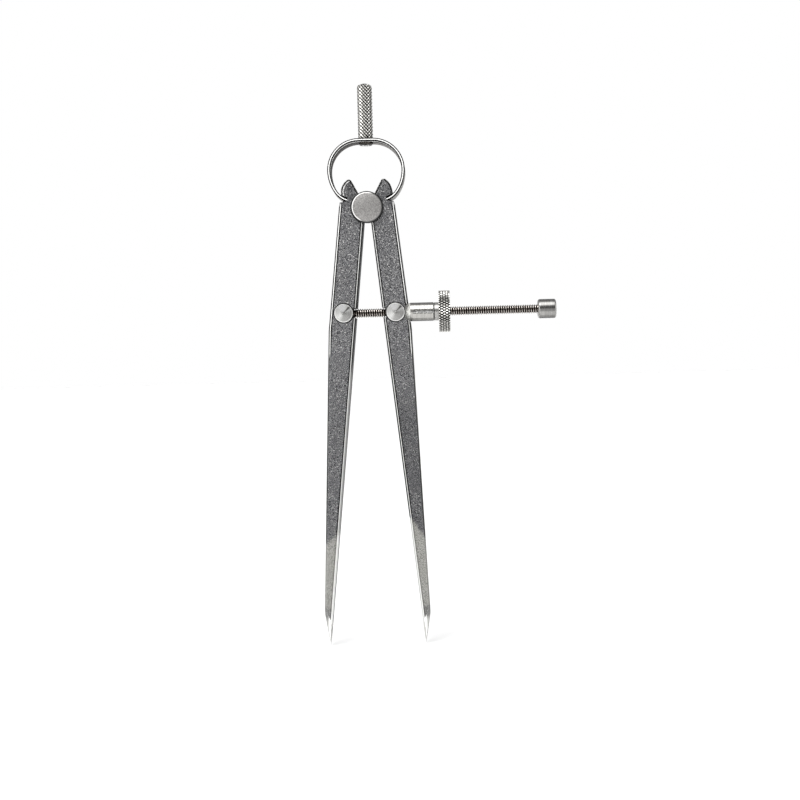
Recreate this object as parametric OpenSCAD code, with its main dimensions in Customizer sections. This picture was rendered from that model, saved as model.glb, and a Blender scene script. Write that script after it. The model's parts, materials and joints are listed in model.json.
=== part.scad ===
// Spring divider, 150 mm: two flat legs on a fulcrum stud, a bow spring that opens them,
// and an adjusting screw with a quick-action nut that holds them to a setting.
// Z runs up the tool's own line, X to the right, and the front faces -Y.
// The origin is the seat of the handle on top of the bow spring.

/* [Legs] */
// Length of a leg, from the middle of the fulcrum to the point
leg_length = 150; // [130:1:180]
// Distance between the two points as the tool stands
point_span = 32.5; // [10:0.5:60]
// Thickness of a leg, front to back
leg_t = 8; // [7.6:0.1:9]
// Thickness of a leg where the point starts
leg_point_t = 5; // [4.4:0.1:6]
// Distance of a leg's inner edge from the closing line, at the fulcrum
leg_inner = 0.75; // [0.6:0.05:1]
// Distance of a leg's outer edge from the closing line
leg_outer = 9.5; // [9.2:0.1:11]
// Distance below the fulcrum at which a leg starts to taper
taper_start = 43; // [42:1:60]
// Length of the ground point
point_length = 10; // [6:0.5:14]
// Width of a leg where the ground point starts
point_width = 2.9; // [2:0.1:3.6]
// Radius left on the very tip
tip_r = 0.08; // [0.05:0.01:0.15]
// Bevel along the edges of a leg
bevel = 0.65; // [0.3:0.05:0.7]

/* [Horns] */
// Middle of the round outer side of a horn, out from the closing line
horn_x = 4.3; // [4.1:0.1:4.5]
// Middle of the round outer side of a horn, above the fulcrum
horn_z = 4.9; // [4.6:0.1:5.2]
// Radius of the round outer side of a horn
horn_r = 5; // [4.8:0.1:5.2]
// Radius of a horn's top
horn_tip_r = 1.05; // [0.9:0.05:1.2]
// Direction of a horn's top from the middle of its outer side
horn_tip_angle = 50; // [48:1:53]
// Lean of a horn's inner face from the leg's own line
horn_lean = 34; // [33:0.5:36]
// Bevel round a horn
horn_bevel = 0.3; // [0.1:0.05:0.5]

/* [Fulcrum] */
// Radius of the stud that the legs turn on
stud_r = 2.46; // [2:0.02:3]
// Radius of the disc in front of the legs
disc_r = 4.6; // [4:0.1:5.6]
// Radius of the disc behind the legs
back_disc_r = 5.15; // [4.4:0.05:5.6]
// Thickness of each disc
disc_t = 1.3; // [0.8:0.1:2]
// Radius of the stud's riveted tail
tail_r = 1.5; // [1:0.1:1.8]

/* [Bow spring] */
// Height of the bow's top above the middle of the fulcrum
bow_rise = 23.7; // [23:0.1:24.6]
// Length of the flat on top of the bow
bow_flat = 4.8; // [4.6:0.1:5.2]
// Radius of the bow's shoulders, outside
bow_shoulder_r = 10.8; // [10.4:0.1:11.2]
// Radius of the bow's sides, outside
bow_side_r = 13.8; // [13.2:0.1:14.4]
// Radius of the bow's toes, outside
bow_toe_r = 7.6; // [7.2:0.1:8]
// Turn of the bow's sides below their widest line
bow_side_turn = 34; // [32:1:36]
// Turn of the bow's toes below its widest line
bow_toe_turn = 72; // [70:1:74]
// Thickness of the spring strip
strip_t = 1.1; // [0.8:0.1:1.4]
// Half the width of the key that holds a toe sideways
key_half_w = 0.7; // [0.5:0.1:1]
// Length of that key
key_length = 1.4; // [1:0.1:1.8]

/* [Handle] */
// Radius of the handle
handle_r = 2.6; // [2:0.05:3]
// Length of the handle above the bow
handle_length = 19.2; // [14:0.2:24]
// Height of the handle's domed end
handle_dome = 0.9; // [0.5:0.1:1.5]
// Radius of the handle's tenon through the bow
tenon_r = 1.25; // [1:0.05:1.6]
// Radius of the burr under the bow
burr_r = 2.4; // [1.9:0.1:3]
// Thickness of the burr
burr_t = 0.8; // [0.6:0.1:1.6]

/* [Swivel posts] */
// Distance of a post below the fulcrum, along the closed leg
post_drop = 36.5; // [35:0.5:38]
// Distance of a post from the closing line, with the leg closed
post_out = 4.9; // [4.8:0.05:5.1]
// Radius of a post in its bore
post_r = 2.35; // [2.2:0.05:2.6]
// How far a post stands out behind the leg
post_proud = 0.3; // [0.1:0.05:0.6]
// Radius of a post's head
head_r = 3.2; // [3:0.05:3.4]
// Thickness of a post's head at its rim
head_t = 0.4; // [0.3:0.05:0.8]
// Height of the shallow cone on a post's head
head_cone = 0.25; // [0.1:0.05:0.4]

/* [Adjusting screw] */
// Radius of the screw over its thread
screw_r = 1.55; // [1.3:0.05:1.7]
// Distance from the left post's middle to the end knob
screw_reach = 66.3; // [60:0.1:80]
// Depth of the screw's end beyond the left post's middle
screw_seat = 1.6; // [1:0.1:1.8]
// Radius of the pin that locks the screw in the left post
pin_r = 0.5; // [0.4:0.05:0.7]
// Radius of the end knob
knob_r = 3.3; // [2.6:0.05:4]
// Length of the end knob
knob_length = 6.2; // [5:0.1:9]
// Depth of the screw's end in the end knob
knob_seat = 4.6; // [3:0.1:4.6]

/* [Quick-action nut] */
// Radius of the sleeve
sleeve_r = 3.2; // [2.9:0.05:3.25]
// Length of the sleeve
sleeve_length = 10.6; // [8.5:0.1:12]
// Radius of the end of the sleeve's nose
nose_r = 1.95; // [1.9:0.05:2.4]
// Length of the sleeve's tapered nose
nose_length = 2.7; // [2.4:0.05:3.4]
// Solid length of the sleeve before its slots
sleeve_root = 3.5; // [3.4:0.05:4.5]
// Width of the slots in the sleeve
sleeve_slot = 1.65; // [1:0.05:2]
// Wall of the nut's split tail
tail_wall = 0.55; // [0.4:0.05:0.7]
// Width of the slits in the nut's tail
tail_slit = 0.5; // [0.3:0.05:0.8]
// Radius of the nut's hub
hub_r = 3.15; // [2.8:0.05:3.4]
// Length of the nut's hub
hub_length = 1.7; // [1:0.1:3]
// Radius of the nut's knurled rim
rim_r = 7.15; // [6:0.05:9]
// Width of the nut's knurled rim
rim_w = 3.8; // [3.5:0.05:6]
// Chamfer on the edges of the rim
rim_chamfer = 0.4; // [0.2:0.05:0.8]

/* [Fits] */
// Radial clearance of what turns or slides
running_gap = 0.04; // [0.02:0.01:0.08]
// Clearance of what is fixed in its seat
seat_gap = 0.02; // [0.01:0.01:0.04]
// Gap between a leg and each disc
side_gap = 0.05; // [0.02:0.01:0.1]
// Room round the screw and the nut's nose as a leg swings
swing_room = 0.2; // [0.15:0.05:0.3]
// Gap round the screw and the nose where a leg's edge is cut away beside a post's head
relief_gap = 0.12; // [0.1:0.01:0.2]
// Largest angle of a leg from the closing line
open_limit = 31.5; // [20:0.5:32]

/* [Hidden] */
$fn = 96;

// How far cutters run past what they cut
over = 1;
// Edge broken on the rims of the discs
disc_edge = 0.25;
// Number of straight steps in each arc of an outline
arc_steps = 8;

// Angle of each leg from the tool's line as it stands
rest_angle = asin(point_span / 2 / leg_length);
seat_r = stud_r + running_gap;
bore_r = post_r + running_gap;
post_seat = turned([post_out, -post_drop], rest_angle);
post_x = post_seat[0];
screw_z = post_seat[1];
post_back = leg_t / 2 + post_proud;
screw_start = -post_x - screw_seat;
knob_x = screw_reach - post_x;
sleeve_x = post_x + post_r + running_gap;
hub_x = sleeve_x + sleeve_length + running_gap;
rim_x = hub_x + hub_length;
tail_out = screw_r + running_gap + tail_wall;
tail_start = sleeve_x + nose_length + running_gap;
nose_slope = (sleeve_r - nose_r) / nose_length;
nose_at_head = nose_r + nose_slope * (head_r - post_r);

// Middles of the bow's arcs, right-hand side, above the fulcrum
shoulder_c = [bow_flat / 2, bow_rise - bow_shoulder_r];
side_c = shoulder_c + [bow_shoulder_r - bow_side_r, 0];
toe_c = side_c + (bow_side_r - bow_toe_r) * heading(-bow_side_turn);
// Directions at the end of a toe: out through the strip, and on beyond its end
toe_normal = heading(-bow_toe_turn);
toe_ahead = heading(-bow_toe_turn - 90);
toe_outer = toe_c + bow_toe_r * toe_normal;
toe_inner = toe_c + (bow_toe_r - strip_t) * toe_normal;
// Faces of the notch that a toe sits in
notch_top_angle = 26;
notch_floor_angle = -7;
notch_length = 6;
notch_room = 0.25;

horn_c = [horn_x, horn_z];
horn_tip_c = horn_c + (horn_r - horn_tip_r) * heading(horn_tip_angle);
horn_start_angle = -28;
// Where a horn's inner face leaves the round of its top
horn_face = horn_tip_c + horn_tip_r * heading(180 - horn_lean);
shoulder_z = 0.5;
// Room in front of and behind the sleeve in the mouth of the leg's edge
mouth_side = 0.07;

function heading(a) = [cos(a), sin(a)];
function turned(p, a) = [p[0] * cos(a) - p[1] * sin(a), p[0] * sin(a) + p[1] * cos(a)];
// Points of an arc, with its first point left out in arc_on
function arc(c, r, from, to) = concat([c + r * heading(from)], arc_on(c, r, from, to));
function arc_on(c, r, from, to) =
    [for (i = [1:arc_steps]) c + r * heading(from + (to - from) * i / arc_steps)];
function flipped(points) = [for (p = points) [-p[0], p[1]]];
function backwards(points) = [for (i = [len(points) - 1:-1:0]) points[i]];

// Outside (inset 0) or inside (inset strip_t) of the bow's right half, top to toe
function bow_side(inset) = concat(
    arc(shoulder_c, bow_shoulder_r - inset, 90, 0),
    arc_on(side_c, bow_side_r - inset, 0, -bow_side_turn),
    arc_on(toe_c, bow_toe_r - inset, -bow_side_turn, -bow_toe_turn)
);

// Edges of the right leg, closed: the outer one from the point to the shoulder
function outer_edge() = [
    [leg_outer - taper_slope * (leg_length - taper_start), -leg_length],
    [leg_outer, -taper_start],
    [leg_outer, shoulder_z]
];
// then round the horn
function horn_edge() = concat(
    arc(horn_c, horn_r, horn_start_angle, horn_tip_angle),
    arc_on(horn_tip_c, horn_tip_r, horn_tip_angle, 180 - horn_lean)
);
// and down the inner side to the point
function inner_edge() = [
    [leg_inner + inner_slope * crotch_z, crotch_z],
    [leg_inner - inner_slope * taper_start, -taper_start],
    [0, -leg_length]
];
inner_slope = leg_inner / leg_length;
crotch_z = (leg_inner - horn_face[0] + tan(horn_lean) * horn_face[1])
    / (tan(horn_lean) - inner_slope);
taper_slope = (leg_outer - point_width) / (leg_length - point_length - taper_start);
thin_slope = (leg_t - leg_point_t) / 2 / (leg_length - point_length - taper_start);

// Half a leg's thickness at height z, and an outline's point on its front or back
function half_t(z) = leg_t / 2 - thin_slope * max(0, -z - taper_start);
function on_face(p, side) = [p[0], side * half_t(p[1]), p[1]];

// A flat shape drawn in X and Z, with its thickness along Y
module plate(t) {
    rotate([90, 0, 0])
        linear_extrude(height = t, center = true)
            children();
}

// Everything below is drawn about the fulcrum and dropped to its place under the handle
module at_fulcrum() {
    translate([0, 0, -bow_rise - seat_gap])
        children();
}

// Turns what is drawn for the closed right leg to where it stands
module opened() {
    rotate([0, -rest_angle, 0])
        children();
}

// A shape of revolution drawn as [distance along X, radius], on the screw's line
module turned_on_screw(x) {
    translate([x, 0, screw_z])
        rotate([0, 90, 0])
            rotate_extrude()
                children();
}

// A rod on the screw's line
module screw_rod(x, length, r) {
    translate([x, 0, screw_z])
        rotate([0, 90, 0])
            cylinder(h = length, r = r);
}

// Bevel of a size along a straight edge from p to q, on the front (-1) or the back (1)
module edge_bevel(p, q, side, size) {
    run_on = 0.25;
    d = q - p;
    length = norm(d);
    width = 3 * size;
    translate(p)
        rotate([asin(d[1] / length), atan2(-d[0], -d[2]), 0])
            translate([0, 0, -length - run_on])
                linear_extrude(height = length + 2 * run_on)
                    rotate(side * 135)
                        translate([-size / sqrt(2), -width / 2])
                            square([width, width]);
}

module edge_bevels(chain, size) {
    for (i = [1:len(chain) - 1])
        for (side = [-1, 1])
            edge_bevel(on_face(chain[i - 1], side), on_face(chain[i], side), side, size);
}

module leg_bevels() {
    edge_bevels(outer_edge(), bevel);
    edge_bevels(concat(horn_edge(), [inner_edge()[0]]), horn_bevel);
    edge_bevels(inner_edge(), bevel);
}

// Side view of a leg: full thickness, then thinner towards the point
module leg_thickness() {
    top = horn_z + horn_r;
    rotate([90, 0, 90])
        linear_extrude(height = 2 * (leg_outer + over), center = true)
            polygon([
                [-half_t(-leg_length), -leg_length],
                [half_t(-leg_length), -leg_length],
                [half_t(-taper_start), -taper_start],
                [half_t(top), top],
                [-half_t(top), top],
                [-half_t(-taper_start), -taper_start]
            ]);
}

// What grinding takes off round the point
module point_grinding() {
    grind = point_length + leg_t;
    slope = (point_width - tip_r) / point_length;
    difference() {
        translate([-leg_outer, -leg_t, -leg_length - over])
            cube([2 * leg_outer, 2 * leg_t, grind + over]);
        translate([0, 0, -leg_length])
            cylinder(h = grind + over, r1 = tip_r, r2 = tip_r + slope * (grind + over));
    }
}

// Swing of a rod of half-width h on the inner side of a leg, about the post
module inner_swing(h) {
    reach = 8;
    a = open_limit;
    translate([post_out, -post_drop])
        polygon([
            [0, -h],
            [-reach, -h],
            [-reach, reach * sin(a)],
            [-reach * cos(a) + h * sin(a), reach * sin(a) + h * cos(a)],
            [h * sin(a), h * cos(a)]
        ]);
}

// Swing of the nut's sleeve on the outer side of a leg, about the post
module outer_swing(room) {
    reach = 9;
    closed = [
        [post_r - room, nose_r + room],
        [post_r + nose_length, sleeve_r + room],
        [reach, sleeve_r + room]
    ];
    open = backwards([for (p = closed) turned([p[0], -p[1]], -open_limit)]);
    translate([post_out, -post_drop])
        polygon(concat([[0, 0]], closed, open));
}

// The notch for a toe of the bow, drawn as the tool stands
module toe_notch() {
    floor_in = toe_outer + seat_gap * toe_ahead + seat_gap * toe_normal;
    top_in = toe_inner + seat_gap * toe_ahead - notch_room * toe_normal;
    polygon([
        floor_in,
        top_in,
        top_in + notch_length * heading(notch_top_angle),
        floor_in + notch_length * heading(notch_floor_angle)
    ]);
}

// The key that stands in the notch and keeps the toe from sliding sideways
module toe_key(half_w, length) {
    back = toe_outer + (seat_gap + over) * toe_ahead + over * toe_normal;
    translate([back[0], 0, back[1]])
        rotate([0, bow_toe_turn - 90, 0])
            translate([0, -half_w, 0])
                cube([length + seat_gap + over, 2 * half_w, strip_t + 2 * over]);
}

module leg_blank(nut_side) {
    difference() {
        intersection() {
            plate(2 * leg_t)
                polygon(concat(outer_edge(), horn_edge(), inner_edge()));
            leg_thickness();
        }
        leg_bevels();
        point_grinding();
        rotate([90, 0, 0])
            cylinder(h = leg_t + 2 * over, r = seat_r, center = true);
        translate([post_out, 0, -post_drop])
            rotate([90, 0, 0])
                cylinder(h = leg_t + 2 * over, r = bore_r, center = true);
        plate(2 * (screw_r + swing_room))
            inner_swing(screw_r + swing_room);
        if (nut_side)
            plate(2 * (sleeve_r + mouth_side))
                outer_swing(swing_room);
    }
}

// A right-hand leg where it stands, with its notch and its reliefs for the screw
module leg(nut_side) {
    difference() {
        opened()
            leg_blank(nut_side);
        difference() {
            plate(2 * leg_t)
                toe_notch();
            toe_key(key_half_w, key_length);
        }
        relief([-head_r, -head_r - leg_outer], screw_r, 0);
        if (nut_side)
            relief([head_r, head_r + nose_length], nose_at_head, nose_slope);
    }
}

// Cut through the leg's edge beside a post's head, where the screw or the nose shows
module relief(x, r, slope) {
    start = r + relief_gap;
    end = start + slope * abs(x[1] - x[0]);
    plate(2 * leg_t)
        translate([post_x, screw_z])
            polygon([[x[0], -start], [x[1], -end], [x[1], end], [x[0], start]]);
}

module right_leg() {
    color("#6b6b6e")
        at_fulcrum()
            leg(true);
}

module left_leg() {
    color("#6b6b6e")
        at_fulcrum()
            mirror([1, 0, 0])
                leg(false);
}

module fulcrum_stud() {
    face = leg_t / 2 + side_gap;
    head_h = 0.35;
    color("#a8a29e")
        at_fulcrum()
            rotate([90, 0, 0])
                rotate_extrude()
                    polygon([
                        [0, -face - disc_t - head_h],
                        [tail_r, -face - disc_t - head_h],
                        [tail_r + head_h, -face - disc_t - seat_gap],
                        [tail_r, -face - disc_t - seat_gap],
                        [tail_r, -face],
                        [stud_r, -face],
                        [stud_r, face],
                        [disc_r, face],
                        [disc_r, face + disc_t - disc_edge],
                        [disc_r - disc_edge, face + disc_t],
                        [0, face + disc_t]
                    ]);
}

module fulcrum_washer() {
    face = leg_t / 2 + side_gap;
    color("#a8a29e")
        at_fulcrum()
            rotate([90, 0, 0])
                rotate_extrude()
                    polygon([
                        [tail_r + seat_gap, -face - disc_t],
                        [back_disc_r - disc_edge, -face - disc_t],
                        [back_disc_r, -face - disc_t + disc_edge],
                        [back_disc_r, -face - seat_gap],
                        [tail_r + seat_gap, -face - seat_gap]
                    ]);
}

module bow_spring() {
    outside = bow_side(0);
    inside = bow_side(strip_t);
    color("#c9c8c4")
        at_fulcrum()
            difference() {
                plate(leg_t)
                    polygon(concat(
                        backwards(flipped(outside)),
                        outside,
                        backwards(inside),
                        flipped(inside)
                    ));
                translate([0, 0, bow_rise - strip_t - over])
                    cylinder(h = strip_t + 2 * over, r = tenon_r + seat_gap);
                for (side = [0, 1])
                    mirror([side, 0, 0])
                        toe_key(key_half_w + running_gap, key_length + running_gap);
            }
}

module handle() {
    proud = 0.3;
    edge = 0.2;
    tenon_end = strip_t + burr_t + proud;
    color("#a9a7a2")
        rotate_extrude()
            polygon(concat(
                [
                    [0, -tenon_end],
                    [tenon_r - edge, -tenon_end],
                    [tenon_r, -tenon_end + edge],
                    [tenon_r, 0],
                    [handle_r, 0],
                    [handle_r, handle_length - handle_dome]
                ],
                [for (a = [15:15:90])
                    [handle_r * cos(a), handle_length - handle_dome + handle_dome * sin(a)]]
            ));
}

module handle_burr() {
    edge = 0.3;
    color("#55504c")
        translate([0, 0, -strip_t - 2 * seat_gap])
            rotate_extrude()
                polygon([
                    [tenon_r + seat_gap, 0],
                    [burr_r, 0],
                    [burr_r, -burr_t + edge],
                    [burr_r - edge, -burr_t],
                    [tenon_r + seat_gap, -burr_t]
                ]);
}

// A swivel post about the origin: a round bar with a low coned head in front
module post_body() {
    dimple_r = 0.25;
    face = leg_t / 2 + seat_gap;
    front = face + head_t;
    edge = 0.2;
    rotate([90, 0, 0])
        rotate_extrude()
            polygon([
                [0, -post_back],
                [post_r - edge, -post_back],
                [post_r, -post_back + edge],
                [post_r, face],
                [head_r, face],
                [head_r, front - edge],
                [head_r - edge, front],
                [dimple_r, front + head_cone],
                [0, front + head_cone - dimple_r / 2]
            ]);
}

module left_post() {
    color("#c2c1be")
        at_fulcrum()
            difference() {
                translate([-post_x, 0, screw_z])
                    post_body();
                screw_rod(screw_start - seat_gap, post_r + screw_seat + over, screw_r + seat_gap);
                translate([-post_x, 0, screw_z])
                    rotate([-90, 0, 0])
                        translate([0, 0, -screw_r])
                            cylinder(h = post_back + screw_r + over, r = pin_r + seat_gap);
            }
}

module right_post() {
    color("#c2c1be")
        at_fulcrum()
            difference() {
                translate([post_x, 0, screw_z])
                    post_body();
                screw_rod(post_x - post_r - over, 2 * (post_r + over), screw_r + running_gap);
            }
}

module adjusting_screw() {
    color("#6d655d")
        at_fulcrum()
            difference() {
                screw_rod(screw_start, knob_x + knob_seat - screw_start, screw_r);
                translate([-post_x, 0, screw_z])
                    rotate([-90, 0, 0])
                        cylinder(h = 4 * screw_r, r = pin_r + seat_gap, center = true);
            }
}

module screw_pin() {
    color("#8f8d8a")
        at_fulcrum()
            translate([-post_x, -screw_r, screw_z])
                rotate([-90, 0, 0])
                    cylinder(h = screw_r + post_back, r = pin_r);
}

module end_knob() {
    edge = 0.7;
    color("#a3a19c")
        at_fulcrum()
            difference() {
                turned_on_screw(knob_x)
                    polygon(concat(
                        [[0, 0], [knob_r - edge, 0]],
                        arc([knob_r - edge, edge], edge, -90, 0),
                        arc([knob_r - edge, knob_length - edge], edge, 0, 90),
                        [[0, knob_length]]
                    ));
                screw_rod(knob_x - over, knob_seat + over + seat_gap, screw_r + seat_gap);
            }
}

module closing_sleeve() {
    bore = tail_out + running_gap;
    cone = nose_length - 0.2;
    edge = 0.15;
    color("#cfcdc9")
        at_fulcrum()
            difference() {
                turned_on_screw(sleeve_x)
                    polygon([
                        [screw_r + swing_room, 0],
                        [nose_r, 0],
                        [sleeve_r, nose_length],
                        [sleeve_r, sleeve_length - edge],
                        [sleeve_r - edge, sleeve_length],
                        [bore, sleeve_length],
                        [bore, cone + tail_wall],
                        [screw_r + swing_room, cone]
                    ]);
                translate([sleeve_x + sleeve_root, -sleeve_r - over, screw_z - sleeve_slot / 2])
                    cube([sleeve_length, 2 * (sleeve_r + over), sleeve_slot]);
            }
}

// Knurled rim, hub and split tail turned in one piece
module quick_nut() {
    bore = screw_r + running_gap;
    land = 0.15;
    lead = 0.5;
    slit_stop = 1;
    tail_length = hub_x - tail_start;
    total = tail_length + hub_length + rim_w;
    hub = tail_length;
    rim = tail_length + hub_length;
    color("#b9b7b1")
        at_fulcrum()
            difference() {
                turned_on_screw(tail_start)
                    polygon([
                        [bore, 0],
                        [bore + land, 0],
                        [tail_out, tail_wall],
                        [tail_out, hub],
                        [hub_r, hub],
                        [hub_r, rim],
                        [rim_r - rim_chamfer, rim],
                        [rim_r, rim + rim_chamfer],
                        [rim_r, total - rim_chamfer],
                        [rim_r - rim_chamfer, total],
                        [bore + lead, total],
                        [bore, total - lead]
                    ]);
                for (turn = [45, 135])
                    translate([tail_start - over, 0, screw_z])
                        rotate([turn, 0, 0])
                            translate([0, -tail_slit / 2, -2 * tail_out])
                                cube([tail_length + over - slit_stop, tail_slit, 4 * tail_out]);
            }
}

left_leg();
right_leg();
fulcrum_stud();
fulcrum_washer();
bow_spring();
handle();
handle_burr();
left_post();
right_post();
adjusting_screw();
screw_pin();
end_knob();
closing_sleeve();
quick_nut();
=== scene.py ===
"""Looks of the spring divider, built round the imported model.

Lengths are written in millimetres and turned into metres by the meshes' makers. Z runs up
the tool's own line from the handle's seat, X to the right, and the front faces -Y.
"""
import json
import math

import bmesh
import bpy
from mathutils import Matrix, Vector


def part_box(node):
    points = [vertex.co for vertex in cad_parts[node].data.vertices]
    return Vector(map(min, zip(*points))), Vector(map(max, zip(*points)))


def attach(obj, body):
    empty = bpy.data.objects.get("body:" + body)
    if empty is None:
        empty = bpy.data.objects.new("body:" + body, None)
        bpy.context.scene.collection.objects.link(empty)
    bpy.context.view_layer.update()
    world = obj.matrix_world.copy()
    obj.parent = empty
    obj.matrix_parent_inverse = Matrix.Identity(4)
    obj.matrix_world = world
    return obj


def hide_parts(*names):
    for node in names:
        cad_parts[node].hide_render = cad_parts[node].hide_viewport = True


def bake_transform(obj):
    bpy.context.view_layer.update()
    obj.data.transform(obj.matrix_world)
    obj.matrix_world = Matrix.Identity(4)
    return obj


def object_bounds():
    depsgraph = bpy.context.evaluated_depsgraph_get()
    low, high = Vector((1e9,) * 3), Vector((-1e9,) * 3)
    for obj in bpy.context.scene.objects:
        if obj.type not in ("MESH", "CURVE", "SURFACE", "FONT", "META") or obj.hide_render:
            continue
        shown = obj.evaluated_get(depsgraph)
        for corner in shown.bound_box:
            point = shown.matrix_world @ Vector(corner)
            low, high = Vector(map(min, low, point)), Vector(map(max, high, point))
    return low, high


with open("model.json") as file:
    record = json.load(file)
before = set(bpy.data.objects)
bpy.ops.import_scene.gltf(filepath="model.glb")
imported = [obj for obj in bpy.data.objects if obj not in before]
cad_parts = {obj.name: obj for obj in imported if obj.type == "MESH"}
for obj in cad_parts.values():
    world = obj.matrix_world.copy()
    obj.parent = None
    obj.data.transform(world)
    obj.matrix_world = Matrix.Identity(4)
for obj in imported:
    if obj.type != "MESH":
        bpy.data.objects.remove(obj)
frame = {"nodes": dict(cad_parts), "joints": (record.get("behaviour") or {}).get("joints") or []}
cad_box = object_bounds()

MM = 0.001
X_AXIS, Y_AXIS, Z_AXIS = Vector((1, 0, 0)), Vector((0, 1, 0)), Vector((0, 0, 1))


def node_box(node):
    """Lowest and highest corner of a CAD node, in millimetres."""
    low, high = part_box(node)
    return low / MM, high / MM


# Places of the joints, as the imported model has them
pins = {j["name"]: Vector(j["pos_m"]) / MM for j in frame["joints"]}
fulcrum = pins["left_leg_hinge"]
left_pin, right_pin = pins["left_post_hinge"], pins["right_post_hinge"]
screw_z = right_pin.z

# Legs, measured out from the closing line and down from the fulcrum
LEG_LENGTH, POINT_SPAN = 150.0, 32.5
LEG_INNER, LEG_OUTER = 0.75, 9.5
TAPER_START, POINT_LENGTH, POINT_WIDTH = 43.0, 10.0, 2.9
TAPER_SLOPE = (LEG_OUTER - POINT_WIDTH) / (LEG_LENGTH - TAPER_START - POINT_LENGTH)
# A horn in its leg's own line: the middle and radius of its round side, its top, its straight side
HORN_X, HORN_Z, HORN_R, HORN_TIP_R = 4.3, 4.9, 5.0, 1.05
HORN_TIP_ANGLE, HORN_LEAN = math.radians(50), math.radians(34)
# Heights on a leg, up from the fulcrum, over which its look changes
BEVEL_WORN, FACE_DARKENS = (-50.0, -52.5), (-55.0, -75.0)
BAND_ENDS, BAND_STARTS, TIP_STARTS = (-142.5, -140.5), (-138.0, -136.0), (-140.0, -142.5)
# Slope and height of the slanting line below which a leg is ground
LEFT_GROUND, RIGHT_GROUND = (0.84, -113.3), (1.8, -110.0)

# Fulcrum
DISC_R, WASHER_R = 5.42, 4.4
SHANK_R, TAIL_R, RIVET_R = 2.4, 1.5, 1.85

# Bow spring
BOW_FLAT = 4.8
STRIP_T, STRIP_ROUND = 1.1, 0.42
SHOULDER_R, SIDE_R, TOE_R = 10.8, 13.8, 7.6
SIDE_TURN, TOE_TURN = 34.0, 72.0
KEY_HALF, KEY_LENGTH = 0.74, 1.44
TENON_HOLE_R = 1.27

# Handle
TENON_R, TENON_EDGE = 1.25, 0.2
HANDLE_ACROSS, HANDLE_ROWS = 26, 30
HANDLE_GROOVE, HANDLE_DOME = 0.26, 1.2
HANDLE_PLAIN_R = 1.3

# Swivel posts
POST_R, HEAD_R, HEAD_T, HEAD_CONE = 2.35, 3.2, 0.4, 0.25
HEAD_RINGS, RING_DEPTH = 14, 0.014
SCREW_SEAT, SEAT_R, PIN_HOLE_R = 1.62, 1.57, 0.52

# Adjusting screw
THREAD_TOP, THREAD_ROOT = 1.55, 1.14
THREAD_PITCH, THREAD_FLANK, THREAD_CREST, THREAD_GAP = 0.776, 0.22, 0.18, 0.1
THREAD_STEPS = 28
THREAD_FROM_POST, KNOB_SEAT, KNOB_OVERLAP = 2.0, 4.6, 0.4
SCREW_BORE = 1.59

# Nut and sleeve
RIM_ACROSS, RIM_ROWS = 96, 4
RIM_GROOVE, RIM_W, RIM_CHAMFER = 0.24, 3.8, 0.14
HUB_R, HUB_LENGTH, HUB_EDGE = 3.15, 1.7, 0.2
TAIL_OUT, TAIL_CHAMFER, SLIT_HALF = 2.14, 0.55, 0.25
END_FACE_R = 3.2
RIM_PLAIN_R, TAIL_SHADE_R = 6.6, 2.3
SLEEVE_NOSE = 2.6

# Where the rim starts on the screw's line, and the length of a row of diamonds
rim_start = node_box("quick_nut")[1].x - RIM_W
rim_row = (RIM_W - 2 * RIM_CHAMFER) / RIM_ROWS
handle_row = (node_box("handle")[1].z - HANDLE_DOME) / HANDLE_ROWS

# Outputs of a Texture Coordinate node by their places; the first gives the world its direction
DIRECTION, NORMAL, OBJECT = 0, 1, 3


# Colours and shader maths


def grey(value):
    """A grey colour."""
    return (value, value, value)


# Colours of painted light: a painted shade line, a painted shade black, a polished white that also
# paints highlights, and a painted glint
PAINTED_SHADE_LINE = grey(0.012)
PAINTED_SHADE_BLACK = grey(0.006)
POLISH_AND_HIGHLIGHT = (1.0, 1.0, 0.98)
GLINT = (1.0, 0.99, 0.97)


class Wire:
    """A socket of a material's nodes, or of what a node gives, that takes part in maths."""

    def __init__(self, tree, socket):
        self.tree = tree
        self.socket = socket

    def node(self, kind, settings=None, out=0, **inputs):
        """A new node of that kind, its settings first, then its sockets by place or name."""
        made = self.tree.nodes.new(kind)
        for name, value in (settings or {}).items():
            setattr(made, name, value)
        for name, value in inputs.items():
            key = int(name[1:]) if name[0] == "_" else name.replace("_", " ")
            plug(self.tree, made.inputs[key], value)
        return Wire(self.tree, made.outputs[out])

    def maths(self, operation, *values):
        sockets = {f"_{i}": v for i, v in enumerate(values)}
        return self.node("ShaderNodeMath", {"operation": operation}, **sockets)

    def __add__(self, other):
        return self.maths("ADD", self, other)

    def __radd__(self, other):
        return self.maths("ADD", other, self)

    def __sub__(self, other):
        return self.maths("SUBTRACT", self, other)

    def __rsub__(self, other):
        return self.maths("SUBTRACT", other, self)

    def __mul__(self, other):
        return self.maths("MULTIPLY", self, other)

    def __rmul__(self, other):
        return self.maths("MULTIPLY", other, self)

    def __truediv__(self, other):
        return self.maths("DIVIDE", self, other)

    def __rtruediv__(self, other):
        return self.maths("DIVIDE", other, self)

    def __abs__(self):
        return self.maths("ABSOLUTE", self)

    def least(self, other):
        return self.maths("MINIMUM", self, other)

    def most(self, other):
        return self.maths("MAXIMUM", self, other)

    def fraction(self):
        return self.maths("FRACT", self)

    def step(self, low, high):
        """0 below low and 1 above high, or the other way where low is the greater."""
        return self.node(
            "ShaderNodeMapRange",
            {"interpolation_type": "SMOOTHSTEP"},
            _0=self,
            _1=low,
            _2=high,
            _3=0.0,
            _4=1.0,
        )

    def within(self, rise, fall):
        """1 between two soft edges, each given as (lower, higher), and 0 outside them."""
        return self.step(*rise) * self.step(fall[1], fall[0])

    def split(self):
        """The three parts of a vector."""
        outputs = self.node("ShaderNodeSeparateXYZ", _0=self).socket.node.outputs
        return [Wire(self.tree, outputs[i]) for i in range(3)]


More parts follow.
